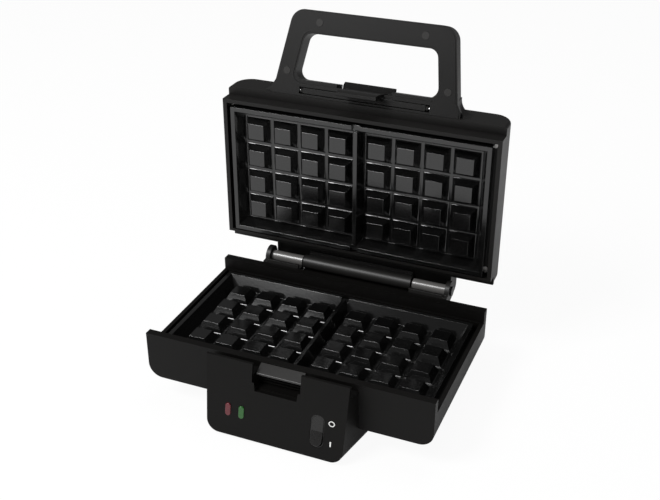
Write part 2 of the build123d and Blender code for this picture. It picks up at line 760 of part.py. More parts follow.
with BuildPart() as left_bracket:
    hinge_bracket(-1)
left_bracket.part.label = "left_hinge_bracket"
export_step(left_bracket.part, "parts/left_hinge_bracket.step")

with BuildPart() as right_bracket:
    hinge_bracket(1)
right_bracket.part.label = "right_hinge_bracket"
export_step(right_bracket.part, "parts/right_hinge_bracket.step")

with BuildPart() as bracket_screw_set:
    places = [(side * x, bracket_screw_z) for side in (-1, 1) for x in bracket_screws]
    for y, radius, length in ((depth + 4.6, 3.2, 1.6), (depth + 3.1, 1.45, bracket_screw_depth + 2.8)):
        with BuildSketch(front_view(y)) as rounds:
            with Locations(*places):
                Circle(radius)
        extrude(rounds.sketch, amount=length)
bracket_screw_set.part.label = "bracket_screws"
export_step(bracket_screw_set.part, "parts/bracket_screws.step")

with BuildPart() as hinge_pin:
    rod(base_side, hinge_y, hinge_z, pin_r, (-pin_end, pin_end))
hinge_pin.part.label = "hinge_pin"
export_step(hinge_pin.part, "parts/hinge_pin.step")

with BuildPart() as pin_caps:
    for side in (-1, 1):
        start = side * (sleeve_outer_x + flange_thick)
        rod(base_side, hinge_y, hinge_z, 4.4, tuple(sorted((start, start + side * 1.5))))
    rod(base_side, hinge_y, hinge_z, pin_r + 0.01, (-pin_end - 1, pin_end + 1), Mode.SUBTRACT)
pin_caps.part.label = "hinge_pin_caps"
export_step(pin_caps.part, "parts/hinge_pin_caps.step")

# the arm of the lid: a barrel on the pin with a web up to the hood
with BuildPart() as hinge_arm:
    rod(lid_side, hinge_y, hinge_z, barrel_r, (-barrel_half, barrel_half))
    web_x = (-barrel_half + 2, barrel_half - 2)
    block(lid_frame, web_x, (hinge_y - 4.5, hinge_y + 4.5), (hinge_z, hood_under))
    block(lid_frame, web_x, (hinge_y - 7, hood_rear - 2), (hood_under - 3, hood_under))
    bore = pin_r + running_clearance
    rod(lid_side, hinge_y, hinge_z, bore, (-barrel_half - 1, barrel_half + 1), Mode.SUBTRACT)
    peg(lid_frame, hood_screws, 1.9, (hood_under - 4, hood_under + 1), Mode.SUBTRACT)
hinge_arm.part.label = "hinge_arm"
export_step(hinge_arm.part, "parts/hinge_arm.step")

with BuildPart() as hinge_arm_screws:
    peg(lid_frame, hood_screws, 3.2, (hood_under - 4.6, hood_under - 3))
    peg(lid_frame, hood_screws, 1.35, (hood_under - 3.1, hood_under + 9))
hinge_arm_screws.part.label = "hinge_arm_screws"
export_step(hinge_arm_screws.part, "parts/hinge_arm_screws.step")


def lid_front_view(y):
    """The plane of the closed lid that faces the user, at a distance behind the front lip."""
    return Plane(origin=lid_point(0, y, 0), x_dir=(1, 0, 0), z_dir=(0, 0, 1))


def lid_section(inset, y, z, mode=Mode.ADD):
    """The lid's front outline with its rounded shoulders, carried backwards."""
    with BuildSketch(lid_front_view(y[0])) as section:
        with Locations((0, (z[0] + z[1]) / 2)):
            Rectangle(width - 2 * inset, z[1] - z[0])
        fillet(section.vertices().group_by(Axis.Y)[-1], lid_shoulder - inset)
    extrude(section.sketch, amount=y[0] - y[1], mode=mode)


upper_seat = middle + plate_seat
rim_top = lid_ledge + wall

with BuildPart() as lid_rim:
    block(lid_frame, (-width / 2, width / 2), (lid_recess_y, lid_rear_rim_y), (lid_rim_low, lid_seam))
    inner_x = width / 2 - wall - 0.05
    block(lid_frame, (-inner_x, inner_x), (lid_recess_y, lid_rear_rim_y), (lid_seam - 0.5, rim_top))
    block(lid_frame, (-opening_x, opening_x), lid_opening_y, (lid_rim_low - 1, upper_seat), Mode.SUBTRACT)
    hollow = (upper_seat + 2.5, rim_top + 1)
    block(lid_frame, (-opening_x, opening_x), lid_opening_y, hollow, Mode.SUBTRACT)
    block(lid_frame, (-seat_x, seat_x), seat_y, (lid_rim_low - 1, rim_top + 1), Mode.SUBTRACT)
    for x, y in rim_screws:
        pad_x = tuple(sorted((copysign(seat_x, x), copysign(inner_x, x))))
        pad_y = (lid_recess_y, seat_y[0]) if y < plate_y else (seat_y[1], lid_rear_rim_y)
        block(lid_frame, pad_x, pad_y, (upper_seat, upper_seat + 4.8))
    peg(lid_frame, rim_screws, 1.7, (upper_seat - 1, rim_top + 1), Mode.SUBTRACT)
    peg(lid_frame, rim_screws, 3.3, (upper_seat - 1, upper_seat + 1.8), Mode.SUBTRACT)
lid_rim.part.label = "lid_rim"
export_step(lid_rim.part, "parts/lid_rim.step")

with BuildPart() as rim_screw_set:
    peg(lid_frame, rim_screws, 2.9, (upper_seat + 0.2, upper_seat + 1.8))
    peg(lid_frame, rim_screws, 1.35, (upper_seat + 1.7, upper_seat + 15))
rim_screw_set.part.label = "lid_rim_screws"
export_step(rim_screw_set.part, "parts/lid_rim_screws.step")

with BuildPart() as lid_shell:
    lid_section(0, (lid_front, depth), (lid_ledge, lid_top))
    fillet(lid_shell.edges().filter_by(Axis.X).group_by(Axis.Y)[-1], 3)
    block(lid_frame, (-width / 2, width / 2), (lid_recess_y, lid_rear_rim_y), (lid_seam, lid_ledge + 1))
    block(lid_frame, (-width / 2, width / 2), (lid_rear_rim_y - 0.5, depth), (lid_rear_ledge, lid_ledge + 1))
    lid_section(wall, (lid_front + wall, depth - wall), (rim_top, lid_top - wall), Mode.SUBTRACT)
    span = (-width / 2 + wall, width / 2 - wall)
    block(lid_frame, span, (lid_recess_y, lid_rear_rim_y), (lid_seam - 1, rim_top + 0.5), Mode.SUBTRACT)
    peg(lid_frame, rim_screws, post_r, (upper_seat + 4.8, lid_top - 8))
    peg(lid_frame, rim_screws, 1.4, (upper_seat + 4.8, lid_top - 12), Mode.SUBTRACT)
    # hood over the hinge, open into the lid
    block(lid_frame, (-hood_half, hood_half), (depth - 0.5, hood_rear), (hood_under, lid_top))
    rear_edges = lid_shell.edges().filter_by(Axis.X).group_by(Axis.Z)[0]
    fillet(rear_edges.sort_by(Axis.Y)[-1:], 7)
    inside = (-hood_half + wall, hood_half - wall)
    hood_y = (depth - wall - 0.5, hood_rear - wall)
    block(lid_frame, inside, hood_y, (hood_under + wall, lid_top - 4 * wall), Mode.SUBTRACT)
    block(lid_frame, inside, (hood_y[0], hood_y[1] - 7), (hood_under + wall, lid_top - wall), Mode.SUBTRACT)
    peg(lid_frame, hood_screws, 3.4, (hood_under, lid_top - 4 * wall))
    peg(lid_frame, hood_screws, 1.4, (hood_under - 1, hood_under + 10), Mode.SUBTRACT)
    # screw holes for the handle's root
    with BuildSketch(lid_front_view(lid_front - 1)) as holes:
        with Locations((-leg_x, handle_bolt_z), (leg_x, handle_bolt_z)):
            Circle(2.0)
    extrude(holes.sketch, amount=-wall - 2, mode=Mode.SUBTRACT)
lid_shell.part.label = "lid_shell"
export_step(lid_shell.part, "parts/lid_shell.step")

with BuildPart() as upper_plate:
    waffle_plate(upper_frame)
upper_plate.part.label = "upper_plate"
export_step(upper_plate.part, "parts/upper_plate.step")

with BuildPart() as upper_element:
    heating_element(upper_frame)
upper_element.part.label = "upper_element"
export_step(upper_element.part, "parts/upper_element.step")

with BuildPart() as upper_clamps:
    element_clamps(upper_frame)
upper_clamps.part.label = "upper_clamps"
export_step(upper_clamps.part, "parts/upper_clamps.step")

with BuildPart() as upper_tray:
    heat_tray(upper_frame)
upper_tray.part.label = "upper_tray"
export_step(upper_tray.part, "parts/upper_tray.step")

with BuildPart() as upper_tray_screws:
    tray_screws(upper_frame)
upper_tray_screws.part.label = "upper_tray_screws"
export_step(upper_tray_screws.part, "parts/upper_tray_screws.step")

with BuildPart() as lid_fuse:
    fuse(upper_frame)
lid_fuse.part.label = "lid_fuse"
export_step(lid_fuse.part, "parts/lid_fuse.step")


handle_lean = (handle_root_half - handle_tip_half) / 59
root_start = 9.0
kink_high = 9.8
kink_low = 3.6
kink_out = 2.0


def handle_sketch(inset, depth_from, kinked):
    """The handle's tapered outline with a rounded tip; kinked where it widens at the root."""
    tip = handle_length - inset
    far = handle_root_half - inset - handle_lean * tip
    near = handle_root_half - inset + handle_lean * root_start
    right = [(near, root_start)]
    if kinked:
        wide = handle_root_half + kink_out - inset
        waist = handle_root_half - inset - handle_lean * kink_high
        right = [(wide, root_start), (wide, -kink_low), (waist, -kink_high)]
    left = [(-x, y) for x, y in reversed(right)]
    with BuildSketch(handle_frame.offset(depth_from)) as outline:
        with BuildLine():
            Polyline(*left, *right, (far, -tip), (-far, -tip), close=True)
        make_face()
        fillet(outline.vertices().group_by(Axis.Y)[0], handle_corner - inset)
    return outline.sketch


def opening_sketch(grow, low, depth_from):
    """The finger opening, grown all round except at its low edge."""
    lean = (opening_low_half - opening_high_half) / 31
    near = opening_low_half + grow + lean * (15 - low)
    high = opening_high + grow
    far = opening_low_half + grow - lean * (high - 15)
    with BuildSketch(handle_frame.offset(depth_from)) as opening:
        with BuildLine():
            Polyline((-near, -low), (near, -low), (far, -high), (-far, -high), close=True)
        make_face()
        fillet(opening.vertices(), opening_corner)
    return opening.sketch


def inlay(inset, depth_from, low):
    """The cover's ring: outline less opening, from a depth down to the cover's back."""
    with BuildPart() as ring:
        extrude(handle_sketch(inset, depth_from, True), amount=cover_thick - depth_from)
        hole = opening_sketch(inset, low, depth_from - 1)
        extrude(hole, amount=cover_thick + 2, mode=Mode.SUBTRACT)
    return ring.part


slot_s = (latch_pin_s - bar_half_high - bar_gap, latch_pin_s + bar_half_high + bar_gap)
bar_back = latch_pin_depth + bar_half_high + 0.2
rim_step = 0.4
lid_root = ((-width / 2, width / 2), (lid_front, lid_front + 30), (lid_ledge - 30, lid_top + 20))
bolt_places = [(-leg_x, handle_bolt_z), (leg_x, handle_bolt_z)]

with BuildPart() as handle_body:
    extrude(handle_sketch(0, cover_thick - 0.5, False), amount=handle_depth - cover_thick + 0.5)
    rim_edges = handle_body.faces().sort_by(Axis((0, 0, 0), tuple(handle_frame.z_dir)))[-1].edges()
    fillet(rim_edges.filter_by(Axis.X, reverse=True), 3)
    extrude(handle_sketch(0, rim_step, True), amount=cover_thick - rim_step)
    # the legs spread where they meet the lid
    leg_side = handle_root_half - handle_lean * handle_flare
    with BuildPart() as spread:
        with BuildSketch(lid_frame.offset(lid_ledge)) as corner:
            start = lid_front - handle_flare
            with BuildLine():
                Line((leg_side, start), (leg_side - 5, start))
                Line((leg_side - 5, start), (leg_side - 5, lid_front))
                Line((leg_side - 5, lid_front), (leg_side + handle_flare, lid_front))
                CenterArc((leg_side + handle_flare, start), handle_flare, 90, 90)
            make_face()
            mirror(about=Plane.YZ)
        extrude(corner.sketch, amount=lid_height)
        between = (cover_thick - 1, handle_depth - 1)
        block(handle_frame, (-width / 2, width / 2), (-40, 40), between, Mode.INTERSECT)
    add(spread.part)
    extrude(opening_sketch(0, opening_low, rim_step - 1), amount=handle_depth + 2, mode=Mode.SUBTRACT)
    add(inlay(cover_inset - fit, 0, cover_opening_low + fit), mode=Mode.SUBTRACT)
    # room for the latch bar, its hook and its thumb tab
    bar_room = (-slot_s[1] - 0.6, root_start)
    block(handle_frame, (-slot_half, slot_half), bar_room, (0, bar_back + 1.2), Mode.SUBTRACT)
    tab_room = (-tab_half - 0.8, tab_half + 0.8)
    tab_way = (-opening_low - 1, -slot_s[0] - 4)
    block(handle_frame, tab_room, tab_way, (0, handle_depth + 1), Mode.SUBTRACT)
    # lugs that carry the latch pin
    lug_s = (slot_s[0] + 0.3, slot_s[1] - 0.3)
    lug = [(lug_s[0], -bar_back - 1.5), (lug_s[1], -bar_back - 1.5), (lug_s[1], -1.5), (lug_s[1] - 1.5, -0.2)]
    lug += [(lug_s[0] + 1.5, -0.2), (lug_s[0], -1.5)]
    for side in (-1, 1):
        prism(handle_side, lug, tuple(sorted((side * lug_inner, side * lug_outer))))
    pin_bore = latch_pin_r + 0.01
    rod(handle_side, latch_pin_s, -latch_pin_depth, pin_bore, (-slot_half, slot_half), Mode.SUBTRACT)
    # the root ends on the lid's front face
    block(lid_frame, *lid_root, Mode.SUBTRACT)
    peg(handle_frame, handle_screws, 1.4, (cover_thick - 1, 12), Mode.SUBTRACT)
    # threaded sockets for the screws from inside the lid
    with BuildSketch(lid_front_view(lid_front + 1)) as sockets:
        with Locations(*bolt_places):
            Circle(1.9)
    extrude(sockets.sketch, amount=11, mode=Mode.SUBTRACT)
handle_body.part.label = "handle_body"
export_step(handle_body.part, "parts/handle_body.step")

with BuildPart() as handle_cover:
    add(inlay(cover_inset, 0, cover_opening_low))
    slot = (-slot_s[1], -slot_s[0])
    block(handle_frame, (-slot_half, slot_half), slot, (-1, cover_thick + 1), Mode.SUBTRACT)
    hook_room = hook_half + 0.8
    above = (-opening_low, -slot_s[1] + 1)
    block(handle_frame, (-hook_room, hook_room), above, (-1, cover_thick + 1), Mode.SUBTRACT)
    block(lid_frame, *lid_root, Mode.SUBTRACT)
    peg(handle_frame, handle_screws, 3.3, (-1, 2.2), Mode.SUBTRACT)
    peg(handle_frame, handle_screws, 1.7, (2, cover_thick + 1), Mode.SUBTRACT)
handle_cover.part.label = "handle_cover"
export_step(handle_cover.part, "parts/handle_cover.step")

with BuildPart() as handle_plugs:
    peg(handle_frame, handle_screws, 3.2, (-0.2, 0.6))
handle_plugs.part.label = "handle_plugs"
export_step(handle_plugs.part, "parts/handle_plugs.step")

with BuildPart() as handle_screw_set:
    peg(handle_frame, handle_screws, 2.8, (0.6, 2.2))
    peg(handle_frame, handle_screws, 1.35, (2.1, 11))
handle_screw_set.part.label = "handle_screws"
export_step(handle_screw_set.part, "parts/handle_screws.step")

with BuildPart() as handle_bolts:
    for y, radius, length in ((lid_front + wall, 1.85, 12), (lid_front + wall + 1.8, 3.6, 1.8)):
        with BuildSketch(lid_front_view(y)) as shanks:
            with Locations(*bolt_places):
                Circle(radius)
        extrude(shanks.sketch, amount=length)
handle_bolts.part.label = "handle_bolts"
export_step(handle_bolts.part, "parts/handle_bolts.step")

bar_half = lug_inner - 0.3
tab_end = handle_depth + 3.2
thumb_plan = Plane(origin=handle_frame.origin, x_dir=(1, 0, 0), z_dir=(0, sin(tilt), cos(tilt)))
spring_x = (29.5, 40.5)
spring_wire_r = 0.29
spring_room = latch_pin_r + 0.75

with BuildPart() as thumb_tab:
    bend = [(9.4, 0), (9.6, -10), (11.4, -13.4), (14.6, -16.0), (14.6, -tab_end), (12.4, -tab_end)]
    prism(handle_side, bend + [(9.0, -15), (7.0, -11.5), (6.9, 0)], (-tab_half, tab_half))
    # seen along the lever: narrow at the bar, wide and rounded at the thumb
    with BuildSketch(thumb_plan) as plan:
        with Locations((0, tab_end / 2)):
            Rectangle(2 * hook_half, tab_end)
        with Locations((0, tab_end - 3.6)):
            RectangleRounded(2 * tab_half, 7.2, 3.4)
    extrude(plan.sketch, amount=40, both=True, mode=Mode.INTERSECT)

with BuildPart() as latch:
    bar_s = (latch_pin_s - bar_half_high, latch_pin_s + bar_half_high)
    bar = [(bar_s[0], 0), (bar_s[0] + 0.3, 0.3), (bar_s[1] - 0.3, 0.3), (bar_s[1], 0)]
    prism(handle_side, bar + [(bar_s[1], -bar_back), (bar_s[0], -bar_back)], (-bar_half, bar_half))
    hook = [(3.6, -3), (3.6, 0.2), (5.0, 3), (6.4, 7), (6.8, 10.9), (5.6, 14.5), (4.1, 14.0)]
    hook += [(4.0, 18.2), (4.4, 18.6), (6.8, 18.6), (7.3, 18.2), (8.9, 13), (9.2, 8), (9.4, -3)]
    prism(handle_side, hook, (-hook_half, hook_half))
    add(thumb_tab.part)
    rod(handle_side, latch_pin_s, -latch_pin_depth, spring_room, spring_x, Mode.SUBTRACT)
    behind = [(bar_s[0] - 1, -latch_pin_depth), (latch_pin_s, -latch_pin_depth), (latch_pin_s, -bar_back - 1)]
    prism(handle_side, behind + [(bar_s[0] - 1, -bar_back - 1)], spring_x, Mode.SUBTRACT)
    pin_bore = latch_pin_r + 0.06
    rod(handle_side, latch_pin_s, -latch_pin_depth, pin_bore, (-slot_half, slot_half), Mode.SUBTRACT)
latch.part.label = "latch"
export_step(latch.part, "parts/latch.step")

with BuildPart() as latch_pin:
    rod(handle_side, latch_pin_s, -latch_pin_depth, latch_pin_r, (-lug_outer - 0.8, lug_outer + 0.8))
latch_pin.part.label = "latch_pin"
export_step(latch_pin.part, "parts/latch_pin.step")

with BuildPart() as latch_spring:
    with BuildLine() as coil:
        Helix(pitch=1.0, height=spring_x[1] - spring_x[0] - 2, radius=latch_pin_r + 0.4)
    # a twelve-sided wire, because the mesh of a thin round one leaves its surface
    with BuildSketch(Plane(origin=coil.line @ 0, z_dir=coil.line % 0)) as section:
        RegularPolygon(spring_wire_r, 12)
    sweep(section.sketch, path=coil.line)
spring_centre = handle_side.from_local_coords((latch_pin_s, -latch_pin_depth, spring_x[0] + 1))
latch_spring.part = Plane(origin=spring_centre, x_dir=(0, 1, 0), z_dir=(1, 0, 0)).location * latch_spring.part
latch_spring.part.label = "latch_spring"
export_step(latch_spring.part, "parts/latch_spring.step")

# where the cord would enter, and the block its wires go to
with BuildPart() as cord_inlet:
    rings = [(housing_rear, cord_hole_r, -wall), (housing_rear, cord_hole_r + 2, 2.2)]
    rings.append((housing_rear - wall, cord_hole_r + 1.2, -2.0))
    for y, radius, length in rings:
        with BuildSketch(Plane(origin=(0, front_y + y, 0), x_dir=(-1, 0, 0), z_dir=(0, 1, 0))) as ring:
            with Locations((-cord_x, cord_z)):
                Circle(radius)
                Circle(3.1, mode=Mode.SUBTRACT)
        extrude(ring.sketch, amount=length)
cord_inlet.part.label = "cord_inlet"
export_step(cord_inlet.part, "parts/cord_inlet.step")

with BuildPart() as terminal_block:
    floor_top = foot_height + wall
    terminal_y = floor_y[1] - 22.5
    block(base_frame, (-12, 22), (terminal_y - 5.5, terminal_y + 5.5), (floor_top, floor_top + 9))
    for step in range(3):
        spot = (-5 + 10 * step, terminal_y)
        peg(base_frame, [spot], 2.6, (floor_top + 3, floor_top + 10), Mode.SUBTRACT)
        peg(base_frame, [spot], 2.5, (floor_top + 3, floor_top + 7))
terminal_block.part.label = "terminal_block"
export_step(terminal_block.part, "parts/terminal_block.step")
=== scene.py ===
import json
import math
import bpy
from mathutils import Matrix, Vector

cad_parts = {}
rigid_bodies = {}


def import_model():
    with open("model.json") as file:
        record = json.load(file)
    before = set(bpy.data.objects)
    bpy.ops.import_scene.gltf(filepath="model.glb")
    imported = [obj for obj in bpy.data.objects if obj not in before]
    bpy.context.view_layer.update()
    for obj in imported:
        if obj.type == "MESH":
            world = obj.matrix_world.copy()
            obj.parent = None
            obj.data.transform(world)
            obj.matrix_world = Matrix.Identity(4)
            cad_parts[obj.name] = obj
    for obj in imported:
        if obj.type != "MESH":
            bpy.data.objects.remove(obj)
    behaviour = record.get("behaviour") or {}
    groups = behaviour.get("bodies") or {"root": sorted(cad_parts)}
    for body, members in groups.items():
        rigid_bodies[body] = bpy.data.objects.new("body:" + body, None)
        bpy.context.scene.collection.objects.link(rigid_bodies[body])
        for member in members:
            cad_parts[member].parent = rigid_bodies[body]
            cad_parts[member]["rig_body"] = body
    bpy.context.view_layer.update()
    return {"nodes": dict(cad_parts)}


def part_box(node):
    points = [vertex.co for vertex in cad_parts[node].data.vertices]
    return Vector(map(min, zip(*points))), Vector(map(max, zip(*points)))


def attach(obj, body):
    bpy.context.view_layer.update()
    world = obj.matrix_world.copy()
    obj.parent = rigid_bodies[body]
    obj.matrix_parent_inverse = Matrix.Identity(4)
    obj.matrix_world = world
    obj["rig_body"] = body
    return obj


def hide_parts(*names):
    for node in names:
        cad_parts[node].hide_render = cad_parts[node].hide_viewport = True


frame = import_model()
cadNodes = frame["nodes"]
print("waffle maker: frame loaded with", len(cadNodes), "nodes")


# shader maths is written as plain expressions on these two classes
class Link:
    def __init__(self, finish, socket):
        self.finish = finish
        self.socket = socket

    def combine(self, operation, first, second):
        return self.finish.node("ShaderNodeMath", {"operation": operation}, {0: first, 1: second})

    def __add__(self, other):
        return self.combine("ADD", self, other)

    def __radd__(self, other):
        return self.combine("ADD", other, self)

    def __sub__(self, other):
        return self.combine("SUBTRACT", self, other)

    def __rsub__(self, other):
        return self.combine("SUBTRACT", other, self)

    def __mul__(self, other):
        return self.combine("MULTIPLY", self, other)

    def __rmul__(self, other):
        return self.combine("MULTIPLY", other, self)

    def __gt__(self, other):
        return self.combine("GREATER_THAN", self, other)


class Finish:
    def __init__(self, name):
        self.material = bpy.data.materials.new(name)
        self.material.use_nodes = True
        self.tree = self.material.node_tree
        self.tree.nodes.clear()
        self.output = self.tree.nodes.new("ShaderNodeOutputMaterial")

    def node(self, kind, settings=None, inputs=None, output=0):
        made = self.tree.nodes.new(kind)
        for key, value in (settings or {}).items():
            setattr(made, key, value)
        for key, value in (inputs or {}).items():
            if isinstance(value, Link):
                self.tree.links.new(value.socket, made.inputs[key])
            else:
                made.inputs[key].default_value = value
        return Link(self, made.outputs[output])

    def place(self):
        return self.node("ShaderNodeTexCoord", output="Object")

    def noise(self, scale, detail=4.0, roughness=0.5):
        values = {"Vector": self.place(), "Scale": scale, "Detail": detail, "Roughness": roughness}
        return self.node("ShaderNodeTexNoise", None, values)

    def blend(self, mask, first, second):
        settings = {"data_type": "RGBA", "clamp_factor": True}
        return self.node("ShaderNodeMix", settings, {0: mask, 6: first, 7: second}, 2)

    def bump(self, height, distance, strength=1.0):
        values = {"Height": height, "Distance": distance, "Strength": strength}
        return self.node("ShaderNodeBump", None, values)

    def surface(self, **sockets):
        values = {name.replace("_", " "): value for name, value in sockets.items()}
        shader = self.node("ShaderNodeBsdfPrincipled", None, values)
        self.tree.links.new(shader.socket, self.output.inputs["Surface"])
        return self.material


def grey(level, warmth=0.0):
    return (level * (1 + warmth), level, level * (1 - warmth), 1.0)


mouldedPlastic = {
    "grainScale": 2600.0,
    "grainDepth": 0.00006,
    "cloudScale": 14.0,
    "cloudSheen": 0.16,
    "fleckScale": 900.0,
    "fleckSheen": 0.08,
    "darker": 0.75,
    "paler": 1.3,
}


def plasticFinish(name, tone, roughness, shine, warmth, grain=1.0):
    # spark-eroded black plastic: fine grain, with a slow change of sheen
    look = mouldedPlastic
    finish = Finish(name)
    grainField = finish.noise(look["grainScale"], 3.0, 0.6)
    cloud = finish.noise(look["cloudScale"], 3.0)
    fleck = finish.noise(look["fleckScale"], 2.0)
    dark = grey(tone * look["darker"], warmth)
    pale = grey(tone * look["paler"], warmth)
    return finish.surface(
        Base_Color=finish.blend(fleck * 0.5 + cloud * 0.5, dark, pale),
        Roughness=roughness + (cloud - 0.5) * look["cloudSheen"] + (fleck - 0.5) * look["fleckSheen"],
        Specular_IOR_Level=shine,
        Normal=finish.bump(grainField, look["grainDepth"] * grain, 0.5),
    )


nonStick = {
    "peelScale": 520.0,
    "peelDepth": 0.00005,
    "cloudScale": 26.0,
    "cloudSheen": 0.12,
    "micaScale": 4200.0,
    "micaFrom": 0.72,
    "micaGlint": 4.0,
    "shine": 0.65,
}


def coatingFinish(name, tone, roughness):
    # sprayed non-stick coating: glossy, a little orange peel, pin-point mica
    look = nonStick
    finish = Finish(name)
    peel = finish.noise(look["peelScale"], 2.0, 0.4)
    cloud = finish.noise(look["cloudScale"], 4.0)
    mica = finish.noise(look["micaScale"], 1.0) > look["micaFrom"]
    return finish.surface(
        Base_Color=finish.blend(mica * 0.5, grey(tone), grey(tone * look["micaGlint"], 0.05)),
        Roughness=roughness + (cloud - 0.5) * look["cloudSheen"],
        Specular_IOR_Level=look["shine"],
        Normal=finish.bump(peel, look["peelDepth"], 0.35),
    )


drawnMetal = {"lineScale": 900.0, "lineDepth": 0.00002, "lineSheen": 0.2, "stainScale": 60.0, "stainSheen": 0.1}


def metalFinish(name, tone, roughness, warmth=0.0, stretch=(1.0, 1.0, 1.0)):
    # turned or drawn metal, its lines along the long axis of the piece
    look = drawnMetal
    finish = Finish(name)
    drawn = finish.node("ShaderNodeMapping", None, {"Vector": finish.place(), "Scale": stretch})
    lines = finish.node("ShaderNodeTexNoise", None, {"Vector": drawn, "Scale": look["lineScale"], "Detail": 3.0})
    stain = finish.noise(look["stainScale"], 4.0)
    return finish.surface(
        Base_Color=finish.blend(stain, grey(tone * 0.8, warmth), grey(tone * 1.1, warmth)),
        Metallic=1.0,
        Roughness=roughness + (lines - 0.5) * look["lineSheen"] + (stain - 0.5) * look["stainSheen"],
        Normal=finish.bump(lines, look["lineDepth"], 0.4),
    )


def rubberFinish(name):
    finish = Finish(name)
    speck = finish.noise(1500.0, 3.0)
    dust = finish.noise(40.0, 5.0, 0.7)
    return finish.surface(
        Base_Color=finish.blend(dust * 0.6, grey(0.012), grey(0.035, 0.05)),
        Roughness=0.75 + (speck - 0.5) * 0.15,
        Specular_IOR_Level=0.25,
        Normal=finish.bump(speck, 0.00008, 0.6),
    )


clearLens = {"prismScale": 420.0, "prismDepth": 0.00006, "hazeScale": 180.0}


def lensFinish(name, deep, pale):
    # clear coloured plastic over a dark housing, unlit
    look = clearLens
    finish = Finish(name)
    bands = {"Vector": finish.place(), "Scale": look["prismScale"]}
    prisms = finish.node("ShaderNodeTexWave", {"bands_direction": "Z"}, bands)
    haze = finish.noise(look["hazeScale"], 3.0)
    return finish.surface(
        Base_Color=finish.blend(prisms * 0.35 + haze * 0.5, deep, pale),
        Roughness=0.12 + haze * 0.1,
        Specular_IOR_Level=0.4,
        Coat_Weight=0.25,
        Coat_Roughness=0.05,
        Normal=finish.bump(prisms, look["prismDepth"], 0.4),
    )


def plainFinish(name, colour, roughness, scale=300.0):
    finish = Finish(name)
    tone = finish.noise(scale, 4.0)
    dark = tuple(channel * 0.8 for channel in colour[:3]) + (1.0,)
    return finish.surface(
        Base_Color=finish.blend(tone, dark, colour),
        Roughness=roughness + (tone - 0.5) * 0.2,
        Normal=finish.bump(tone, 0.00005, 0.4),
    )


finishes = {
    "housing": plasticFinish("housingPlastic", 0.003, 0.44, 0.12, 0.08),
    "lid": plasticFinish("lidPlastic", 0.006, 0.4, 0.22, 0.06),
    "handle": plasticFinish("handlePlastic", 0.0045, 0.4, 0.2, 0.04),
    "plug": plasticFinish("plugPlastic", 0.016, 0.4, 0.22, 0.04),
    "hinge": plasticFinish("hingePlastic", 0.012, 0.42, 0.3, 0.04, grain=0.4),
    # pale tone on the glossy black sleeve: a painted highlight standing for the lit band along it
    "sleeve": plasticFinish("sleevePaintedHighlight", 0.1, 0.3, 0.7, 0.03, grain=0.4),
    "catch": plasticFinish("catchPlastic", 0.016, 0.34, 0.4, 0.03, grain=0.6),
    "rocker": plasticFinish("rockerPlastic", 0.006, 0.26, 0.4, 0.05, grain=0.4),
    "coating": coatingFinish("nonStickCoating", 0.003, 0.14),
    "bright": metalFinish("brightSteel", 0.62, 0.24, 0.0, (0.05, 1.0, 1.0)),
    "dark": metalFinish("oiledSteel", 0.09, 0.35, 0.0, (0.05, 1.0, 1.0)),
    "zinc": metalFinish("zincSteel", 0.5, 0.36, 0.02),
    "element": metalFinish("elementSteel", 0.22, 0.42, 0.04),
    "tray": metalFinish("traySheet", 0.68, 0.34, 0.0, (0.1, 1.0, 1.0)),
    "spring": metalFinish("springWire", 0.5, 0.3),
    "brass": metalFinish("brassTab", 0.55, 0.3, 0.3),
    "rubber": rubberFinish("footRubber"),
    "redLens": lensFinish("redLens", (0.045, 0.004, 0.007, 1), (0.15, 0.014, 0.022, 1)),
    "greenLens": lensFinish("greenLens", (0.004, 0.04, 0.005, 1), (0.016, 0.13, 0.014, 1)),
    "mark": plainFinish("markInk", (0.8, 0.8, 0.78, 1), 0.5, 2000.0),
    "pale": plainFinish("palePlastic", (0.62, 0.6, 0.54, 1), 0.5),
    "ceramic": plainFinish("ceramicBody", (0.6, 0.56, 0.48, 1), 0.6),
    "lamp": plainFinish("lampGlass", (0.7, 0.65, 0.6, 1), 0.1),
}
print("waffle maker: finishes made,", len(finishes))

nodeFinish = {
    "housing": "base_shell control_housing bottom_cover cord_inlet",
    "hinge": "left_hinge_bracket right_hinge_bracket hinge_arm",
    "lid": "lid_shell lid_rim",
    "handle": "handle_body handle_cover latch",
    "plug": "handle_plugs",
    "catch": "latch_catch",
    "rocker": "rocker switch_body",
    "coating": "lower_plate upper_plate",
    "bright": "latch_pin",
    "dark": "hinge_pin hinge_pin_caps",
    "zinc": "cover_screws bracket_screws lid_rim_screws handle_screws handle_bolts hinge_arm_screws "
    "lower_tray_screws upper_tray_screws",
    "element": "lower_element upper_element lower_clamps upper_clamps",
    "tray": "lower_tray upper_tray",
    "spring": "latch_spring",
    "brass": "switch_tabs",
    "rubber": "rubber_feet",
    "redLens": "red_lens",
    "greenLens": "green_lens",
    "mark": "mark_off mark_on",
    "pale": "lamp_holder terminal_block",
    "ceramic": "thermostat base_fuse lid_fuse",
    "lamp": "signal_lamps",
}
finishOf = {node: finish for finish, names in nodeFinish.items() for node in names.split()}
for nodeName, cadNode in cadNodes.items():
    cadNode.data.materials.clear()
    cadNode.data.materials.append(finishes[finishOf[nodeName]])
print("waffle maker: every CAD node has its finish")


def selectOnly(*pieces):
    for other in bpy.context.selected_objects:
        other.select_set(False)
    for piece in pieces:
        piece.select_set(True)
    bpy.context.view_layer.objects.active = pieces[0]


def applyModifier(piece, kind, **settings):
    selectOnly(piece)
    modifier = piece.modifiers.new(kind.title(), kind)
    for key, value in settings.items():
        setattr(modifier, key, value)
    bpy.ops.object.modifier_apply(modifier=modifier.name)


def breakEdges(piece, width, segments=2, degrees=28.0):
    # rounds every edge that turns by more than the angle
    applyModifier(
        piece,
        "BEVEL",
        width=width,
        segments=segments,
        limit_method="ANGLE",
        angle_limit=math.radians(degrees),
        miter_outer="MITER_ARC",
    )


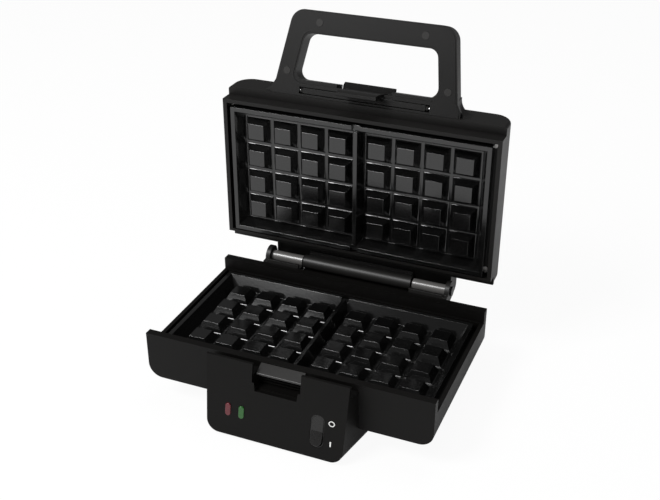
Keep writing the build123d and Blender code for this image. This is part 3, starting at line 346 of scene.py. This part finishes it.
def smoothShade(piece, degrees=40.0):
    # flat faces keep their own normals, and the rounded edges take up the turn
    selectOnly(piece)
    bpy.ops.object.shade_smooth_by_angle(angle=math.radians(degrees))
    applyModifier(piece, "WEIGHTED_NORMAL", mode="FACE_AREA", weight=100, keep_sharp=True)


def workingCopy(nodeName, pieceName):
    # a merged copy of a CAD node, ready for its edges to be broken
    source = cadNodes[nodeName]
    piece = bpy.data.objects.new(pieceName, source.data.copy())
    piece.data.name = pieceName
    bpy.context.scene.collection.objects.link(piece)
    selectOnly(piece)
    bpy.ops.object.mode_set(mode="EDIT")
    bpy.ops.mesh.select_all(action="SELECT")
    bpy.ops.mesh.remove_doubles(threshold=0.000005)
    bpy.ops.mesh.dissolve_limited(angle_limit=math.radians(0.4))
    bpy.ops.object.mode_set(mode="OBJECT")
    return piece


def seat(piece, nodeName, *moreNodes):
    # the piece stands for its CAD node and moves with that node's body
    body = cadNodes[nodeName]["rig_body"]
    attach(piece, body)
    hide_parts(nodeName, *moreNodes)


def pickFaces(piece, wanted):
    # leaves edit mode for a moment, because the faces are marked in object mode
    bpy.ops.mesh.select_mode(type="FACE")
    bpy.ops.mesh.select_all(action="DESELECT")
    bpy.ops.object.mode_set(mode="OBJECT")
    for face in piece.data.polygons:
        face.select = wanted(face.center, face.normal)
    bpy.ops.object.mode_set(mode="EDIT")


def cutAcross(place, normal):
    bpy.ops.mesh.select_all(action="SELECT")
    bpy.ops.mesh.bisect(plane_co=place, plane_no=normal)


def extrudeBy(rise):
    bpy.ops.mesh.extrude_region_move(TRANSFORM_OT_translate={"value": (0, 0, rise)})


softened = {
    "base_shell": ("baseTub", 0.0009),
    "control_housing": ("controlHousing", 0.0006),
    "lid_shell": ("lidShell", 0.0008),
    "lid_rim": ("lidRim", 0.0008),
    "handle_body": ("handleBody", 0.0005),
    "handle_cover": ("handleCover", 0.0005),
    "latch": ("latchLever", 0.0004),
    "latch_catch": ("latchRamp", 0.0005),
    "left_hinge_bracket": ("hingeBracketLeft", 0.0005),
    "right_hinge_bracket": ("hingeBracketRight", 0.0005),
    "hinge_arm": ("hingeBarrel", 0.0005),
    "bottom_cover": ("bottomCover", 0.0004),
    "switch_body": ("switchWell", 0.0003),
}
hingeSleeve = {"reach": 0.0056, "from": 0.0535, "to": 0.0844}
pinLow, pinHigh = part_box("hinge_pin")
axisY = (pinLow.y + pinHigh.y) / 2
axisZ = (pinLow.z + pinHigh.z) / 2
shelfEnd = {"from": 0.051, "reach": 0.0021, "within": 0.0002, "behind": 0.02}


def stretchShelf(piece):
    # the shelf under the barrel is drawn out to the brackets, so that no floor shows between them
    bpy.ops.object.mode_set(mode="EDIT")
    for hand in (-1, 1):
        pickFaces(
            piece,
            lambda spot, normal: hand * normal.x > 0.9
            and abs(hand * spot.x - shelfEnd["from"]) < shelfEnd["within"]
            and spot.y > axisY - shelfEnd["behind"],
        )
        bpy.ops.transform.translate(value=(hand * shelfEnd["reach"], 0, 0))
    bpy.ops.object.mode_set(mode="OBJECT")


for nodeName, (pieceName, width) in softened.items():
    piece = workingCopy(nodeName, pieceName)
    if nodeName == "base_shell":
        stretchShelf(piece)
    breakEdges(piece, width)
    smoothShade(piece)
    if "Bracket" in pieceName:
        # the sleeve gets a paler, glossier finish than the plate that carries it: its pale tone is a painted
        # highlight for the band of light along it
        piece.data.materials.append(finishes["sleeve"])
        for face in piece.data.polygons:
            spot = face.center
            away = math.hypot(spot.y - axisY, spot.z - axisZ)
            if away < hingeSleeve["reach"] and hingeSleeve["from"] < abs(spot.x) < hingeSleeve["to"]:
                face.material_index = 1
    seat(piece, nodeName)
    print("waffle maker:", pieceName, "made,", len(piece.data.polygons), "faces")


# both plates are one casting: made flat round the origin, then copied and turned
wafflePlate = {
    "halfLong": 0.1173,
    "halfDeep": 0.0597,
    "top": -0.0002,
    "seat": -0.0094,
    "back": -0.0145,
    "seatLedge": 0.0063,
    "divider": 0.0016,
    "rim": 0.0037,
    "cavityFloor": -0.0115,
    "outerRun": 0.0057,
    "dividerRun": 0.0033,
    "pegsEachWay": 4,
    "channelStrip": 0.0006,
    # each step goes inwards and upwards, round the foot of a peg and then up its side
    "pegSteps": ((0.0006, 0.0001), (0.00055, 0.0003), (0.00045, 0.0005), (0.0034, 0.0067)),
    "within": 0.0001,
    "notchHalf": 0.0035,
    "notchLow": -0.003,
    "notchPlace": 0.058,
    "notchRun": 0.0076,
    "notchTall": 0.01,
    "edge": 0.0009,
    "edgeSegments": 3,
    "edgeAngle": 30.0,
    "posts": ((0.096, 0.0199), (0.096, -0.0199), (-0.096, 0.0199), (-0.096, -0.0199), (0.022, 0.0), (-0.022, 0.0)),
    "postRadius": 0.004,
    "postSides": 24,
    "postEnd": -0.0224,
    "postSunk": 0.0002,
    "postHole": 0.0014,
    "postHoleDeep": 0.006,
}


def makeWafflePlate():
    plate = wafflePlate
    high = plate["top"] - plate["seat"]
    bpy.ops.mesh.primitive_cube_add(size=1.0, location=(0, 0, plate["seat"] + high / 2))
    piece = bpy.context.object
    piece.scale = (2 * plate["halfLong"], 2 * plate["halfDeep"], high)
    bpy.ops.object.transform_apply(location=True, scale=True)
    outer = plate["halfLong"] - plate["rim"]
    side = plate["halfDeep"] - plate["rim"]
    count = plate["pegsEachWay"]
    bpy.ops.object.mode_set(mode="EDIT")
    for step in range(count + 1):
        away = plate["divider"] + (outer - plate["divider"]) * step / count
        cutAcross((away, 0, 0), (1, 0, 0))
        cutAcross((-away, 0, 0), (1, 0, 0))
        cutAcross((0, -side + 2 * side * step / count, 0), (0, 1, 0))
    # the seat ledge, and the thicker body under it
    pickFaces(piece, lambda spot, normal: normal.z < -0.9)
    bpy.ops.mesh.inset(thickness=plate["seatLedge"])
    extrudeBy(plate["back"] - plate["seat"])
    # the two cavities, drawn in towards their floors
    mouth = outer - plate["divider"]
    runs = plate["outerRun"] + plate["dividerRun"]
    still = plate["divider"] + mouth * plate["dividerRun"] / runs
    for hand in (-1, 1):
        pickFaces(
            piece,
            lambda spot, normal: normal.z > 0.9
            and spot.z > -0.001
            and plate["divider"] < hand * spot.x < outer
            and abs(spot.y) < side,
        )
        extrudeBy(plate["cavityFloor"] - plate["top"])
        bpy.ops.transform.resize(
            value=(1 - runs / mouth, 1 - plate["outerRun"] / side, 1.0),
            center_override=(hand * still, 0, plate["cavityFloor"]),
        )
    # the pegs rise from their floor cells, one inset at a time
    low = plate["cavityFloor"]
    pickFaces(piece, lambda spot, normal: normal.z > 0.9 and abs(spot.z - low) < plate["within"])
    bpy.ops.mesh.inset(thickness=plate["channelStrip"], use_individual=True)
    for inwards, upwards in plate["pegSteps"]:
        bpy.ops.mesh.inset(thickness=inwards, depth=upwards, use_individual=True)
    bpy.ops.object.mode_set(mode="OBJECT")
    return piece


def makePlatePost(x, y):
    plate = wafflePlate
    deep = plate["back"] - plate["postEnd"]
    bpy.ops.mesh.primitive_cylinder_add(
        vertices=plate["postSides"],
        radius=plate["postRadius"],
        depth=deep + 2 * plate["postSunk"],
        location=(x, y, plate["back"] - deep / 2 + plate["postSunk"]),
    )
    post = bpy.context.object
    bpy.ops.object.transform_apply(location=True)
    bpy.ops.object.mode_set(mode="EDIT")
    pickFaces(post, lambda spot, normal: normal.z < -0.9)
    bpy.ops.mesh.inset(thickness=plate["postRadius"] - plate["postHole"])
    extrudeBy(plate["postHoleDeep"])
    bpy.ops.object.mode_set(mode="OBJECT")
    return post


def cutNotches(piece):
    # overflow notches through the rim, in line with the divider
    plate = wafflePlate
    for end in (-1, 1):
        place = (0, end * plate["notchPlace"], plate["notchLow"] + plate["notchTall"] / 2)
        bpy.ops.mesh.primitive_cube_add(size=1.0, location=place)
        cutter = bpy.context.object
        cutter.scale = (2 * plate["notchHalf"], plate["notchRun"], plate["notchTall"])
        applyModifier(piece, "BOOLEAN", operation="DIFFERENCE", solver="EXACT", object=cutter)
        bpy.data.objects.remove(cutter)


plateBlank = makeWafflePlate()
cutNotches(plateBlank)
breakEdges(plateBlank, wafflePlate["edge"], wafflePlate["edgeSegments"], wafflePlate["edgeAngle"])
posts = [makePlatePost(x, y) for x, y in wafflePlate["posts"]]
selectOnly(plateBlank, *posts)
bpy.ops.object.join()
smoothShade(plateBlank)

plateSeats = {
    "lower_plate": ("wafflePlateLower", (1, 0, 0), (0, 1, 0)),
    "upper_plate": ("wafflePlateUpper", (1, 0, 0), (0, 0, 1)),
}
for nodeName, (pieceName, xAxis, yAxis) in plateSeats.items():
    piece = bpy.data.objects.new(pieceName, plateBlank.data.copy())
    piece.data.name = pieceName
    bpy.context.scene.collection.objects.link(piece)
    low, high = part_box(nodeName)
    middle = (Vector(low) + Vector(high)) / 2
    turned = Matrix((xAxis, yAxis, Vector(xAxis).cross(Vector(yAxis)))).transposed()
    # the blank's own box is centred between its top and the ends of its posts
    offset = turned @ Vector((0, 0, (wafflePlate["top"] + wafflePlate["postEnd"]) / 2))
    piece.data.transform(Matrix.Translation(middle - offset) @ turned.to_4x4())
    piece.data.materials.clear()
    piece.data.materials.append(finishes["coating"])
    seat(piece, nodeName)
    print("waffle maker:", pieceName, "made,", len(piece.data.polygons), "faces")
bpy.data.objects.remove(plateBlank)


studio = {
    "lamps": {
        "key": {"place": (-0.78, -1.15, 1.68), "size": 0.7, "power": 42.0},
        "window": {"place": (-0.9, -1.5, 0.98), "size": 0.6, "power": 4.5},
        "side": {"place": (1.35, -0.65, 0.35), "size": 0.4, "power": 2.5},
        "top": {"place": (0.1, 0.5, 1.9), "size": 0.8, "power": 9.0},
    },
    "aim": (0.0, 0.0, 0.12),
    "world": 0.16,
    "floorSide": 60.0,
    "paper": (0.9, 0.9, 0.9, 1),
    "white": (1, 1, 1, 1),
    # how much of the white a ray from the camera, or one mirrored or let through by a piece, is given
    "seenWhite": 0.94,
    "mirroredWhite": 0.2,
}
for lampName, lamp in studio["lamps"].items():
    bpy.ops.object.light_add(type="AREA", location=lamp["place"])
    light = bpy.context.object
    light.name = lampName + "Light"
    light.data.size = lamp["size"]
    light.data.energy = lamp["power"]
    light.rotation_euler = (Vector(studio["aim"]) - Vector(lamp["place"])).to_track_quat("-Z", "Y").to_euler()

world = bpy.data.worlds.new("studioWorld")
bpy.context.scene.world = world
world.use_nodes = True
sky = world.node_tree.nodes["Background"]
sky.inputs["Color"].default_value = studio["white"]
sky.inputs["Strength"].default_value = studio["world"]

bpy.ops.mesh.primitive_plane_add(size=studio["floorSide"], location=(0, 0, 0))
floor = bpy.context.object
floor.name = "studioFloor"
floorFinish = Finish("paleFloor")
rays = floorFinish.node("ShaderNodeLightPath", output="Is Camera Ray")
mirrored = Link(floorFinish, rays.socket.node.outputs["Is Glossy Ray"])
through = Link(floorFinish, rays.socket.node.outputs["Is Transmission Ray"])
paper = floorFinish.node("ShaderNodeBsdfDiffuse", None, {"Color": studio["paper"]})
glow = floorFinish.node("ShaderNodeEmission", None, {"Color": studio["white"], "Strength": 1.0})
share = rays * studio["seenWhite"] + (mirrored + through) * studio["mirroredWhite"]
mix = floorFinish.node("ShaderNodeMixShader", None, {0: share, 1: paper, 2: glow})
floorFinish.tree.links.new(mix.socket, floorFinish.output.inputs["Surface"])
floor.data.materials.append(floorFinish.material)
print("waffle maker: floor and lamps set")

# the photograph's camera, found by a fit and measured from the tub's front edge
cameraSetup = {
    "place": (0.2892, -0.6034, 0.5409),
    "target": (-0.0056, 0.1093, 0.1124),
    "lens": 56.6,
    "sensor": 36.0,
}
frontEdge = Vector((0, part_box("base_shell")[0].y, 0))
cameraPlace = Vector(cameraSetup["place"]) + frontEdge
cameraTarget = Vector(cameraSetup["target"]) + frontEdge
bpy.ops.object.camera_add(location=cameraPlace)
camera = bpy.context.object
camera.name = "photoCamera"
camera.rotation_euler = (cameraTarget - cameraPlace).to_track_quat("-Z", "Y").to_euler()
camera.data.lens = cameraSetup["lens"]
camera.data.sensor_width = cameraSetup["sensor"]
bpy.context.scene.camera = camera
bpy.context.scene.view_settings.view_transform = "Standard"
